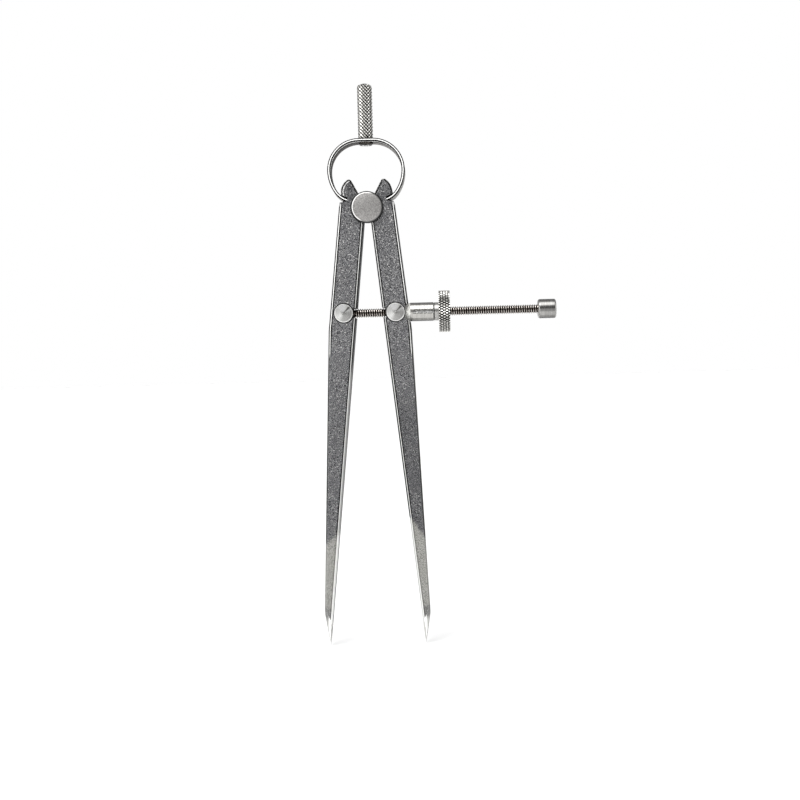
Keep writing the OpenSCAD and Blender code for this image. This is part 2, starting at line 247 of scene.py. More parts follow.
def plug(tree, socket, value):
    """Links a wire to a socket, or sets the socket to a number or a colour."""
    if isinstance(value, Wire):
        tree.links.new(value.socket, socket)
    elif isinstance(value, tuple) and socket.type == "RGBA":
        socket.default_value = (*value, 1)
    else:
        socket.default_value = value


def blend_colours(mask, first, second):
    """First colour where the mask is 0, second where it is 1."""
    return mask.node("ShaderNodeMix", {"data_type": "RGBA"}, out=2, _0=mask, _6=first, _7=second)


def length_of(a, b):
    """Length of a line from its two parts."""
    square = a * a + b * b
    return square.maths("SQRT", square)


class Finish:
    """A metal finish: a Principled surface with the fields that its pattern is drawn from."""

    def __init__(self, name, metallic, roughness):
        self.material = bpy.data.materials.new(name)
        self.material.use_nodes = True
        self.tree = self.material.node_tree
        self.surface = self.tree.nodes["Principled BSDF"]
        self.root = Wire(self.tree, None)
        place = self.root.node("ShaderNodeTexCoord", out=OBJECT)
        self.place = self.root.node(
            "ShaderNodeVectorMath", {"operation": "SCALE"}, _0=place, Scale=1 / MM
        )
        self.x, self.y, self.z = self.place.split()
        self.normal = self.root.node("ShaderNodeTexCoord", out=NORMAL).split()
        self.tilt = [abs(part) for part in self.normal]
        self.facing = self.tilt[1]
        self.set("Metallic", metallic)
        self.set("Roughness", roughness)

    def moved(self, at=(0, 0, 0), scale=(1, 1, 1)):
        """The place in millimetres, from a point of the piece and stretched."""
        shift = tuple(-a * s for a, s in zip(at, scale))
        return self.root.node("ShaderNodeMapping", _0=self.place, Location=shift, Scale=scale)

    def distance(self, at):
        """Distance in the front view from a point of the piece, in millimetres."""
        return length_of(self.x - at[0], self.z - at[2])

    def noise(self, per_mm, detail=2.0, rough=0.5, vector=None):
        return self.root.node(
            "ShaderNodeTexNoise",
            Vector=vector or self.place,
            Scale=per_mm,
            Detail=detail,
            Roughness=rough,
        )

    def rings(self, reach, per_mm):
        """Noise in rings, from the distance to their middle."""
        return self.root.node(
            "ShaderNodeTexNoise", {"noise_dimensions": "1D"}, W=reach, Scale=per_mm
        )

    def set(self, name, value):
        plug(self.tree, self.surface.inputs[name], value)

    def paint(self, colour):
        """Sets the colour, and keeps it for a finish that builds on this one."""
        self.colour = colour
        self.set("Base Color", colour)

    def bump(self, height, depth):
        """Depth in millimetres for a height of 1."""
        self.set("Normal", self.root.node("ShaderNodeBump", Distance=depth * MM, Height=height))


# Finishes


class LegSteel(Finish):
    """A leg's finish, with its fields and parts: heights are up from the fulcrum."""

    def __init__(self, side):
        super().__init__(f"leg_steel_{'left' if side < 0 else 'right'}", 0.8, 0.5)
        self.left = side < 0
        self.post = left_pin if self.left else right_pin
        lean = math.asin(POINT_SPAN / 2 / LEG_LENGTH)
        x, z = self.x * side, self.z - fulcrum.z
        # Out from the closing line and up from the fulcrum, with the leg closed
        self.out = x * math.cos(lean) + z * math.sin(lean)
        self.rise = z * math.cos(lean) - x * math.sin(lean)
        below = (-TAPER_START - self.rise).most(0.0)
        outer = LEG_OUTER - self.out - below * TAPER_SLOPE
        inner = self.out - LEG_INNER - self.rise * (LEG_INNER / LEG_LENGTH)
        self.edge = outer.least(inner)
        self.outward = (outer - inner).step(0.3, -0.3)
        self.on_leg = self.rise.step(0.8, -0.6)
        self.grit = self.noise(1.45, 2.0, 0.7)
        self.fine = self.noise(3.0, 1.0, 0.6)
        self.grain = self.noise(4.4, 1.0, 0.6).step(0.40, 0.60)
        self.cloud = self.noise(0.25, 2.0).step(0.35, 0.65)

    def speckled(self):
        """Blackened steel with pale grains and bright specks, darker lower down."""
        speck = self.noise(3.4, 1.0, 0.5, self.moved(at=(9, 0, 5))).step(0.66, 0.7)
        lower = self.rise.step(*FACE_DARKENS) * (0.15 if self.left else 0.35)
        mottle = self.grain * 0.85 + self.grit.step(0.4, 0.6) * 0.15
        dark = blend_colours(mottle, (0.02, 0.02, 0.0215), (0.30, 0.299, 0.306))
        dark = blend_colours(self.cloud * 0.12, dark, (0.12, 0.123, 0.14))
        dark = blend_colours(speck, dark, (0.9, 0.89, 0.87))
        return blend_colours(lower, dark, (0.02, 0.02, 0.022))

    def ground(self, dark):
        """Paler ground steel with a dark band above the shining tip."""
        shine = 0.42 if self.left else 0.55
        band = self.rise.within(BAND_ENDS, BAND_STARTS)
        tip = self.rise.step(*TIP_STARTS)
        pale = blend_colours(self.grain, (0.2, 0.2, 0.187), (0.46, 0.455, 0.43))
        pale = blend_colours(band * 0.6, pale, dark)
        return blend_colours(tip, pale, (shine, shine, shine * 0.96))

    def near_point(self):
        """Mask of the ground part, which starts at a ragged slanting line."""
        slant, start = LEFT_GROUND if self.left else RIGHT_GROUND
        below_line = start - self.rise - (self.out - 2.5) * slant
        return (below_line + self.grit * 7.0 - 3.5).step(-1.0, 1.2)

    def lined(self, face, line_shade):
        """A painted shade line beside each bevel, and a painted shadow ring round the disc and the
        post.
        """
        flat = self.facing.step(0.95, 0.99)
        # Painted shade line beside each bevel
        line = self.edge.within((0.7, 0.76), (1.04, 1.16)) * flat * line_shade
        face = blend_colours(line, face, PAINTED_SHADE_LINE)
        # Painted shadow rings where the disc and the post meet the leg
        for at, radius in ((fulcrum, DISC_R - 0.08), (self.post, HEAD_R)):
            near = (self.distance(at) - radius).step(0.34, 0.2)
            face = blend_colours(near * flat, face, PAINTED_SHADE_LINE)
        return face

    def bevelled(self, face, ridge, line_shade):
        """Polished bevels, painted white as a highlight too, with a painted shade line at the
        corner, fainter low on the left leg's inner side.
        """
        # Polished white, partly a painted highlight
        bright = blend_colours(ridge, face, POLISH_AND_HIGHLIGHT)
        # Painted shade line at the outer corner
        corner = self.edge.step(0.5, 0.42) * line_shade
        if self.left:
            corner = corner * (1.0 - (1.0 - self.outward) * self.rise.step(-52.0, -60.0) * 0.35)
        return blend_colours(corner, bright, PAINTED_SHADE_LINE)

    def horned(self, face):
        """A horn's darker face with a painted shade line round it and, inside it on the left, a
        painted glint.
        """
        to_tip = HORN_R - HORN_TIP_R
        tip_x = HORN_X + to_tip * math.cos(HORN_TIP_ANGLE)
        tip_z = HORN_Z + to_tip * math.sin(HORN_TIP_ANGLE)
        round_side = HORN_R - length_of(self.out - HORN_X, self.rise - HORN_Z)
        straight = (self.out - tip_x) * math.cos(HORN_LEAN)
        straight = straight - (self.rise - tip_z) * math.sin(HORN_LEAN) + HORN_TIP_R
        top = tip_z + HORN_TIP_R + 0.1 - self.rise
        trim = round_side.least(straight).least(top)
        above = self.rise.step(1.6, 2.6)
        darker = self.cloud * 0.2 + (0.25 if self.left else 0.1)
        horn = blend_colours(darker, face, (0.03, 0.03, 0.033))
        if self.left:
            glint = round_side.within((0.55, 0.62), (0.9, 0.98)) * self.fine.step(0.44, 0.5)
            horn = blend_colours(glint * above, horn, GLINT)
        # Painted shade line round the horn's edge
        return blend_colours(trim.step(0.62, 0.52) * above, horn, PAINTED_SHADE_BLACK)

    def walls(self):
        """Brushed sides: painted shade on the inner walls, which face the other leg, and pale
        outwards.
        """
        lines = self.noise(0.8, 3.0, 0.6, self.moved(scale=(1.0, 6.0, 0.25)))
        worn = (lines * 0.7 + self.grit * 0.3).step(0.38, 0.62)
        # Painted shade on the wall that faces the other leg
        inner_wall = blend_colours(worn, grey(0.02), grey(0.045))
        outer_wall = blend_colours(worn, (0.23, 0.23, 0.222), (0.36, 0.36, 0.35))
        return blend_colours(self.outward * self.on_leg, inner_wall, outer_wall)


def leg_finish(side):
    """Dark speckled faces, polished bevels painted bright as a highlight with painted shade lines
    beside them, a paler point.
    """
    steel = LegSteel(side)
    point = steel.near_point()
    # The outer bevel is worn away further down, where only its dark corner is left
    ridge = 1.0 - steel.outward * steel.rise.step(*BEVEL_WORN)
    line_shade = (1.0 - point * 0.6) * steel.on_leg
    dark = steel.speckled()
    face = blend_colours(point, dark, steel.ground(dark))
    face = steel.lined(face, line_shade * ridge)
    bright = steel.bevelled(face, ridge, line_shade)
    horn = steel.horned(face)
    worn_horn = blend_colours(steel.fine.step(0.54, 0.6), horn, (0.5, 0.5, 0.49))
    face = blend_colours(steel.on_leg, horn, face)
    bright = blend_colours(steel.on_leg, worn_horn, bright)
    bevel = steel.facing.within((0.55, 0.62), (0.86, 0.94))
    colour = blend_colours(bevel, face, bright)
    steel.paint(blend_colours(steel.facing.step(0.5, 0.4), colour, steel.walls()))
    steel.set("Metallic", 0.9 - bevel * 0.4)
    steel.set("Roughness", 0.5 - bevel * 0.2)
    steel.bump(steel.grit * 0.6 + steel.fine * 0.4, 0.03)
    return steel


def disc_finish():
    """Warm grey faces with a painted highlight on the rim's left, a painted shade outline round the
    rim, and a painted dark side.
    """
    steel = Finish("disc_steel", 1.0, 0.42)
    grain = steel.noise(3.6, 3.0, 0.7)
    reach = steel.distance(fulcrum)
    on_rim = reach.step(DISC_R - 0.7, DISC_R - 0.62)
    on_corner = reach.step(DISC_R - 0.42, DISC_R - 0.36)
    to_light = ((steel.z - fulcrum.z) * 0.38 - steel.x * 0.92).step(-0.6, 1.2)
    face = blend_colours(grain.step(0.36, 0.64), (0.25, 0.243, 0.237), (0.5, 0.487, 0.475))
    # Painted highlight on the rim towards the light
    rim = blend_colours(to_light, (0.2, 0.195, 0.19), GLINT)
    # Painted shade outline at the rim's corner
    colour = blend_colours(on_corner, blend_colours(on_rim, face, rim), grey(0.008))
    # Painted shade on the side
    steel.paint(blend_colours(steel.facing.step(0.3, 0.2), colour, grey(0.02)))
    steel.set("Metallic", 1.0 - on_rim * 0.8)
    steel.bump(grain, 0.015)
    return steel


def spring_finish():
    """Painted highlight on the front edges, painted shade on the rounded corners, a brushed outside
    and an inside in painted shade with random stains.
    """
    steel = Finish("spring_steel", 0.9, 0.6)
    low, high = node_box("bow_spring")
    behind = steel.y - low.y
    middle_z = (low.z + high.z) / 2
    outwards = steel.x * steel.normal[0] + (steel.z - middle_z) * steel.normal[2]
    brushed = steel.noise(1.4, 3.0, 0.6, steel.moved(scale=(1, 8, 1))).step(0.35, 0.65)
    outside = blend_colours(brushed, (0.24, 0.236, 0.228), (0.36, 0.352, 0.34))
    # Inside: painted shade, lighter to the right, with a thin painted highlight line before painted
    # dark dashes at the front
    stain = steel.noise(0.7, 3.0, 0.65).step(0.4, 0.62)
    broken = steel.noise(0.9, 2.0, 0.6).step(0.4, 0.5)
    inside = blend_colours(stain, (0.04, 0.034, 0.031), (0.014, 0.011, 0.01))
    inside = blend_colours(steel.x.step(-3.0, 8.0), inside, (0.26, 0.246, 0.237))
    inside = blend_colours(behind.step(4.2, 3.0) * (broken * 0.6 + 0.4), inside, PAINTED_SHADE_BLACK)
    inside = blend_colours(behind.step(2.0, 1.5) * 0.75, inside, POLISH_AND_HIGHLIGHT)
    flat = blend_colours(outwards.step(0.5, -0.5), outside, inside)
    # Painted highlight on the front edge, and painted shade on the rounded corners beside it
    edge = steel.facing.step(0.978, 0.99)
    corner = behind.step(0.85, 0.7) * (1.0 - edge)
    steel.paint(blend_colours(edge, blend_colours(corner, flat, grey(0.005)), POLISH_AND_HIGHLIGHT))
    steel.set("Metallic", 0.95 - edge * 0.95)
    steel.bump(steel.noise(1.2, 3.0, 0.6, steel.moved(scale=(1, 6, 1))), 0.006)
    return steel


def turned_finish(name, dark, light, rough, front=0.0):
    """Bright steel turned round the screw's line, with painted shade where it turns away above and
    below, and, by the share front, where it faces the front.
    """
    steel = Finish(name, 1.0, rough)
    rings = steel.noise(1.0, 3.0, 0.6, steel.moved(scale=(6.0, 0.15, 0.15)))
    stain = steel.noise(0.9, 3.0, 0.6).step(0.4, 0.7)
    ground = blend_colours(rings.step(0.3, 0.7), dark, light)
    ground = blend_colours(stain * 0.3, ground, dark)
    round_side = length_of(steel.y, steel.z - screw_z).step(2.8, 2.95)
    # Painted shade where the round turns away above and below, and on faces to the front
    away = steel.tilt[2].step(0.64, 0.76) * 0.35 + steel.tilt[2].step(0.84, 0.93) * 0.55
    away = away + steel.facing.step(0.92, 0.98) * front
    steel.paint(blend_colours(away * round_side, ground, grey(0.02)))
    steel.set("Roughness", rough - 0.05 + rings * 0.12)
    steel.bump(rings, 0.006)
    return steel


def sleeve_finish():
    """Turned steel with a nose painted pale as a highlight, and painted shade in its split end."""
    steel = turned_finish("sleeve_steel", (0.38, 0.375, 0.355), (0.56, 0.55, 0.53), 0.2)
    along = steel.x - node_box("closing_sleeve")[0].x
    # Painted highlight: the nose is pale and less metallic
    pale = along.step(SLEEVE_NOSE + 0.1, SLEEVE_NOSE - 0.1)
    # Painted shade in the split end
    split = along.step(1.0, 0.8) * abs(steel.z - screw_z).step(0.6, 0.5)
    colour = blend_colours(pale, steel.colour, (0.95, 0.945, 0.90))
    steel.paint(blend_colours(split, colour, grey(0.02)))
    steel.set("Metallic", 1.0 - pale * 0.9)
    return steel


def post_finish(name, at):
    """A faced end: fine rings, a painted highlight in a wedge, painted shade to one side with a
    painted dark streak, painted shade in the middle, a painted bright rim and a painted shade
    outline.
    """
    steel = Finish(name, 1.0, 0.24)
    reach = steel.distance(at)
    across = (steel.x - at[0]) / (reach + 0.05)
    upward = (steel.z - at[2]) / (reach + 0.05)
    rings = steel.rings(reach, 5.0)
    spots = steel.noise(2.2, 3.0, 0.7)
    # Painted shade, a painted dark streak and a painted highlight wedge, set round the head by
    # where the light falls
    shade = (across * 0.64 - upward * 0.77).step(-0.1, 0.8) * 0.7
    streak = abs(across * 0.72 - upward * 0.69).step(0.24, 0.05) * (across + upward).step(0.4, 0.9)
    wedge = (upward * 0.97 - across * 0.25).step(0.74, 0.93)
    # Painted shade in the dimple at the middle
    middle = reach.step(1.0, 0.2) * spots.step(0.55, 0.5)
    colour = blend_colours(rings.step(0.3, 0.7), (0.74, 0.74, 0.72), POLISH_AND_HIGHLIGHT)
    colour = blend_colours(shade * (spots * 0.9 + 0.5), colour, (0.15, 0.147, 0.142))
    colour = blend_colours(streak * 0.85, colour, (0.06, 0.06, 0.057))
    colour = blend_colours(wedge, colour, grey(1.0))
    colour = blend_colours(middle, colour, (0.12, 0.12, 0.11))
    # Painted highlight on the rim, then a painted shade outline
    colour = blend_colours(reach.step(HEAD_R - 0.36, HEAD_R - 0.28), colour, POLISH_AND_HIGHLIGHT)
    colour = blend_colours(reach.step(HEAD_R - 0.12, HEAD_R - 0.05), colour, PAINTED_SHADE_LINE)
    steel.paint(blend_colours(steel.facing.step(0.4, 0.3), colour, (0.30, 0.29, 0.285)))
    steel.set("Roughness", 0.24 + rings * 0.1)
    return steel


def screw_finish():
    """Dark valleys and worn bright crests, with painted shade along the middle."""
    steel = Finish("screw_steel", 1.0, 0.3)
    z = steel.z - screw_z
    crest = length_of(steel.y, z).step(THREAD_ROOT + 0.24, THREAD_TOP - 0.04)
    blotches = steel.noise(1.3, 3.0, 0.6).step(0.3, 0.7)
    valley = blend_colours(blotches, (0.008, 0.006, 0.005), (0.03, 0.023, 0.018))
    worn = blend_colours(blotches, (0.78, 0.74, 0.70), (0.4, 0.35, 0.31))
    # Painted shade along the middle, where the dim front is mirrored
    worn = blend_colours(abs(z).step(0.45, 0.25) * 0.7, worn, (0.10, 0.075, 0.06))
    steel.paint(blend_colours(crest, valley, worn))
    steel.set("Roughness", 0.46 - crest * 0.18)
    return steel


def diamond_grooves(a, b, along, across, row, worn=1.0):
    """Mask of a knurl's grooves, from the place across its bar and along it."""
    column = a.maths("ARCTAN2", b, a) * (across / math.tau)

    def one_way(way):
        turn = ((column + along * (way / row)) * 0.5).fraction()
        return (abs(turn - 0.5) * 2.0).step(0.46, 0.6)

    return one_way(1.0).most(one_way(-1.0) * worn)


def plated_steel(steel):
    """Worn plating, and the dark colour of its grooves."""
    wear = steel.noise(0.9, 3.0, 0.6)
    raised = blend_colours(wear, (0.7, 0.69, 0.655), (1.0, 0.99, 0.95))
    return raised, blend_colours(wear, (0.006, 0.006, 0.005), (0.02, 0.019, 0.017))


def mottled_steel(fine):
    """Grey steel with paler spots, from a fine noise."""
    return blend_colours(fine.step(0.4, 0.6), (0.3, 0.3, 0.295), (0.7, 0.7, 0.69))


def paint_knurl(steel, groove, reach, plain_r, raised, groove_colour, smooth):
    """Grooves and plating outside a radius, and smooth steel inside it."""
    groove = groove * reach.step(plain_r, plain_r + 0.1)
    raised = blend_colours(reach.step(plain_r + 0.1, plain_r), raised, smooth)
    steel.paint(blend_colours(groove, raised, groove_colour))
    steel.set("Roughness", 0.24 + groove * 0.2)


def handle_finish():
    """A knurled bar with painted shade on its left side and at its edges; on the left the grooves
    of one hand are painted fainter, as the light shows them.
    """
    steel = Finish("knurled_steel_handle", 1.0, 0.26)
    # Painted light: the grooves of one hand are fainter to the left
    worn = steel.x.step(-0.3, 0.9) * 0.7 + 0.3
    groove = diamond_grooves(steel.x, steel.y, steel.z, HANDLE_ACROSS, handle_row, worn)
    raised, groove_colour = plated_steel(steel)
    # Painted shade on the left side and at both edges
    shade = steel.x.step(0.2, -1.0) * 0.55 + abs(steel.x).step(2.1, 2.5) * 0.3
    raised = blend_colours(shade, raised, (0.12, 0.118, 0.11))
    smooth = mottled_steel(steel.noise(2.2, 2.0, 0.6))
    reach = length_of(steel.x, steel.y)
    paint_knurl(steel, groove, reach, HANDLE_PLAIN_R, raised, groove_colour, smooth)
    return steel


def nut_finish():
    """A knurled rim, turned faces, a hub with painted shade at its root and a mottled tail."""
    steel = Finish("knurled_steel_nut", 1.0, 0.26)
    z = steel.z - screw_z
    along = steel.x - rim_start
    groove = diamond_grooves(steel.y, z, along - RIM_CHAMFER, RIM_ACROSS, rim_row)
    raised, groove_colour = plated_steel(steel)
    reach = length_of(steel.y, z)
    on_hub = reach.step(TAIL_SHADE_R, TAIL_SHADE_R + 0.1)
    hub_root = along.step(0.3 - HUB_LENGTH, 0.2 - HUB_LENGTH)
    fine = steel.noise(2.2, 2.0, 0.6)
    rings = (steel.rings(reach, 2.5) * 0.7 + fine * 0.3).step(0.42, 0.58)
    hub = blend_colours(rings * 0.25, (0.46, 0.455, 0.44), (0.2, 0.198, 0.192))
    smooth = blend_colours(on_hub, mottled_steel(fine), hub)
    # Painted shade at the hub's root, beside the sleeve's end
    smooth = blend_colours(on_hub * hub_root, smooth, grey(0.01))
    paint_knurl(steel, groove, reach, RIM_PLAIN_R, raised, groove_colour, smooth)
    return steel


# Mesh makers

SHARP_ANGLE = math.radians(32)


def new_piece(name, bm, material, smooth=True):
    """Turns a bmesh drawn in millimetres into an object at the origin, in metres."""
    bmesh.ops.remove_doubles(bm, verts=bm.verts, dist=1e-4)
    bmesh.ops.recalc_face_normals(bm, faces=bm.faces)
    bmesh.ops.scale(bm, vec=(MM, MM, MM), verts=bm.verts)
    mesh = bpy.data.meshes.new(name)
    bm.to_mesh(mesh)
    bm.free()
    piece = bpy.data.objects.new(name, mesh)
    bpy.context.scene.collection.objects.link(piece)
    mesh.materials.append(material)
    if smooth:
        mesh.shade_smooth()
        mesh.set_sharp_from_angle(angle=SHARP_ANGLE)
    return piece


def carve(piece, *cutters):
    """Cuts closed bmeshes, drawn in millimetres, out of a piece."""
    for bm in cutters:
        cutter = new_piece("cutter", bm, piece.data.materials[0], smooth=False)
        cut = piece.modifiers.new("cut", "BOOLEAN")
        cut.operation = "DIFFERENCE"
        cut.solver = "EXACT"
        cut.object = cutter
        seen = piece.evaluated_get(bpy.context.evaluated_depsgraph_get())
        carved = bpy.data.meshes.new_from_object(seen)
        piece.modifiers.clear()
        piece.data = carved
        bpy.data.objects.remove(cutter)
    piece.data.set_sharp_from_angle(angle=SHARP_ANGLE)
    return piece


def chain(bm, points):
    """A line of edges through points."""
    verts = [bm.verts.new(p) for p in points]
    return verts, [bm.edges.new(pair) for pair in zip(verts, verts[1:])]


def turned(points, axis, centre, steps):
    """A solid turned from an outline given as (along the axis, radius), closed on the axis."""
    bm = bmesh.new()
    out = Y_AXIS if axis == Z_AXIS else Z_AXIS
    verts, edges = chain(bm, [Vector(centre) + axis * a + out * r for a, r in points])
    bmesh.ops.spin(
        bm, geom=verts + edges, cent=centre, axis=axis, angle=math.tau, steps=steps, use_merge=True
    )
    bmesh.ops.remove_doubles(bm, verts=bm.verts, dist=1e-4)
    return bm


def rod(axis, start, length, radius):
    """A plain closed rod."""
    return turned([(0, 0), (0, radius), (length, radius), (length, 0)], axis, start, 32)


def block(low, high):
    """A closed box between two corners."""
    bm = bmesh.new()
    bmesh.ops.create_cube(bm, size=1)
    low, high = Vector(low), Vector(high)
    bmesh.ops.scale(bm, vec=high - low, verts=bm.verts)
    bmesh.ops.translate(bm, vec=(low + high) / 2, verts=bm.verts)
    return bm


def place_piece(piece, body, slot, *nodes):
    """Rides a piece on a body, in the place of CAD nodes; the slot is not used."""
    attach(piece, body)
    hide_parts(*nodes)


# Bow spring: two halves, each from the middle of the top down to its toe


def polar(centre, radius, degrees):
    """A point in the front view, from a centre."""
    a = math.radians(degrees)
    return centre + Vector((radius * math.cos(a), 0, radius * math.sin(a)))


def strip_section(half, top):
    """The strip's rounded section at the middle of the bow's top, and its ring of edges."""
    bm = bmesh.new()
    bottom = top - STRIP_T
    corners = [(0, -half, top), (0, half, top), (0, half, bottom), (0, -half, bottom)]
    bm.faces.new([bm.verts.new(c) for c in corners])
    bmesh.ops.bevel(
        bm,
        geom=list(bm.verts),
        offset=STRIP_ROUND,
        segments=3,
        profile=0.5,
        affect="VERTICES",
        material=-1,
    )
    ring = list(bm.edges)
    bmesh.ops.delete(bm, geom=list(bm.faces), context="FACES_ONLY")
    return bm, ring


def right_strip(half, top):
    """The strip from the middle of the top, spun round its three middles, and its toe's end."""
    shoulder = Vector((BOW_FLAT / 2, 0, top - SHOULDER_R))
    flank = shoulder + X_AXIS * (SHOULDER_R - SIDE_R)
    toe = polar(flank, SIDE_R - TOE_R, -SIDE_TURN)
    bm, first = strip_section(half, top)
    moved = bmesh.ops.extrude_edge_only(bm, edges=first)["geom"]
    verts = [g for g in moved if isinstance(g, bmesh.types.BMVert)]
    bmesh.ops.translate(bm, vec=X_AXIS * BOW_FLAT / 2, verts=verts)
    ring = [g for g in moved if isinstance(g, bmesh.types.BMEdge)]
    arcs = ((shoulder, 90, 14), (flank, SIDE_TURN, 8), (toe, TOE_TURN - SIDE_TURN, 8))
    for centre, turn, steps in arcs:
        verts = list({v for e in ring for v in e.verts})
        spun = bmesh.ops.spin(
            bm,
            geom=verts + ring,
            cent=centre,
            axis=Y_AXIS,
            angle=math.radians(turn),
            steps=steps,
        )
        ring = [g for g in spun["geom_last"] if isinstance(g, bmesh.types.BMEdge)]
    for loop in (first, ring):
        bmesh.ops.edgeloop_fill(bm, edges=loop)
    return bm, polar(toe, TOE_R, -TOE_TURN)


def toe_slot(end):
    """The slot in a toe for the key that stands in the leg's notch."""
    slot = block((-1, -KEY_HALF, -1), (2 * STRIP_T, KEY_HALF, KEY_LENGTH))
    toe_out = polar(Vector(), 1, -TOE_TURN)
    toe_back = polar(Vector(), 1, 90 - TOE_TURN)
    basis = Matrix((toe_out, Y_AXIS, toe_back)).transposed().to_4x4()
    seat = Matrix.Translation(end - toe_out * (STRIP_T + 0.5)) @ basis
    bmesh.ops.transform(slot, matrix=seat, verts=slot.verts)
    return slot


def bow_half(side):
    """One half of the bow, with the slot in its toe and its half of the tenon's hole."""
    high = node_box("bow_spring")[1]
    half, top = high.y, high.z
    name, leg = ("bow_spring_left", "left_leg") if side < 0 else ("bow_spring_right", "right_leg")
    strip, end = right_strip(half, top)
    slot = toe_slot(end)
    hole = rod(Z_AXIS, Vector((0, 0, top - 3)), 6, TENON_HOLE_R)
    if side < 0:
        for part in (strip, slot):
            bmesh.ops.scale(part, vec=(-1, 1, 1), verts=part.verts)
            bmesh.ops.recalc_face_normals(part, faces=part.faces)
        end.x = -end.x
    half_bow = carve(new_piece(name, strip, spring_steel), slot, hole)
    end * MM
    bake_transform(half_bow)
    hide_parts("bow_spring")


# Knurled pieces


def cut_grooves(bm, levels, level_of, column_of, sink):
    """Sinks every second corner of a band's grid and joins the sunk ones into grooves."""
    sunk = []
    for v in bm.verts:
        row = levels.get(round(level_of(v), 3))
        if row is not None and (row + column_of(v)) % 2 == 0:
            sunk.append(v)
    for v in sunk:
        sink(v)
    bmesh.ops.connect_verts(bm, verts=sunk)


def handle_piece():
    """A knurled bar with a domed end, and its tenon through the bow."""
    low, high = node_box("handle")
    radius, top = high.x, high.z
    rows = [i * handle_row for i in range(1, HANDLE_ROWS + 1)]
    arch = [
        (top - HANDLE_DOME * (1 - a), radius * (1 - 0.75 * a * a)) for a in (0.3, 0.55, 0.8, 0.97)
    ]
    outline = [(low.z, 0), (low.z, TENON_R - TENON_EDGE), (low.z + TENON_EDGE, TENON_R)]
    outline += [(0, TENON_R), (0, radius - 0.3)]
    outline += [(z, radius) for z in rows] + arch + [(top, 0)]
    bm = turned(outline, Z_AXIS, Vector(), HANDLE_ACROSS)
    heights = rows + [z for z, r in arch]
    step = math.tau / HANDLE_ACROSS

    def column(v):
        return round(math.atan2(v.co.y, v.co.x) / step)

    def sink(v):
        share = min(1, v.co.xy.length / radius)
        v.co.xy *= 1 - HANDLE_GROOVE * share / v.co.xy.length
        if v.co.z > top - HANDLE_DOME:
            v.co.z -= HANDLE_GROOVE * 0.4

    levels = {round(z, 3): i for i, z in enumerate(heights, 1)}
    cut_grooves(bm, levels, lambda v: v.co.z, column, sink)
    piece = new_piece("handle_knurled", bm, handle_steel, smooth=False)
    place_piece(piece, "frame", "knurled_steel", "handle")


def tail_slit(turn, centre, hub):
    """A slit across the nut's tail, up to its hub."""
    slit = block((-1, -SLIT_HALF, -4.3), (hub - 1, SLIT_HALF, 4.3))
    around = Matrix.Rotation(math.radians(turn), 3, "X")
    bmesh.ops.rotate(slit, cent=(0, 0, 0), matrix=around, verts=slit.verts)
    bmesh.ops.translate(slit, vec=centre, verts=slit.verts)
    return slit


def nut_piece():
    """Split tail, hub and knurled rim in one, turned round the screw's line."""
    low, high = node_box("quick_nut")
    centre = Vector((low.x, 0, screw_z))
    length, rim_r = high.x - low.x, high.y
    rim = length - RIM_W
    hub = rim - HUB_LENGTH
    end = length - HUB_EDGE
    rows = [rim + RIM_CHAMFER + i * rim_row for i in range(RIM_ROWS + 1)]
    outline = [(0, SCREW_BORE), (0, SCREW_BORE + 0.15), (TAIL_CHAMFER, TAIL_OUT), (hub, TAIL_OUT)]
    outline += [(hub, HUB_R - HUB_EDGE), (hub + HUB_EDGE, HUB_R), (rim - 0.1, HUB_R)]
    outline += [(rim, HUB_R + 0.1), (rim, rim_r - RIM_CHAMFER)]
    outline += [(x, rim_r) for x in rows]
    outline += [(length, rim_r - RIM_CHAMFER), (length, END_FACE_R + HUB_EDGE), (end, END_FACE_R)]
    outline += [(end, SCREW_BORE + 0.5), (end - 0.5, SCREW_BORE), (0, SCREW_BORE)]
    bm = turned(outline, X_AXIS, centre, RIM_ACROSS)
    step = math.tau / RIM_ACROSS

    def column(v):
        around = math.atan2(v.co.z - screw_z, v.co.y)
        return round((around - math.pi / 2) / step)

    def sink(v):
        out = Vector((0, v.co.y, v.co.z - screw_z)).normalized()
        v.co -= out * RIM_GROOVE

    levels = {round(low.x + x, 3): i for i, x in enumerate(rows)}
    cut_grooves(bm, levels, lambda v: v.co.x, column, sink)
    slits = [tail_slit(turn, centre, hub) for turn in (45, 135)]
    piece = carve(new_piece("quick_nut_knurled", bm, nut_steel), *slits)
    place_piece(piece, "nut", "knurled_steel", "quick_nut")


# Adjusting screw


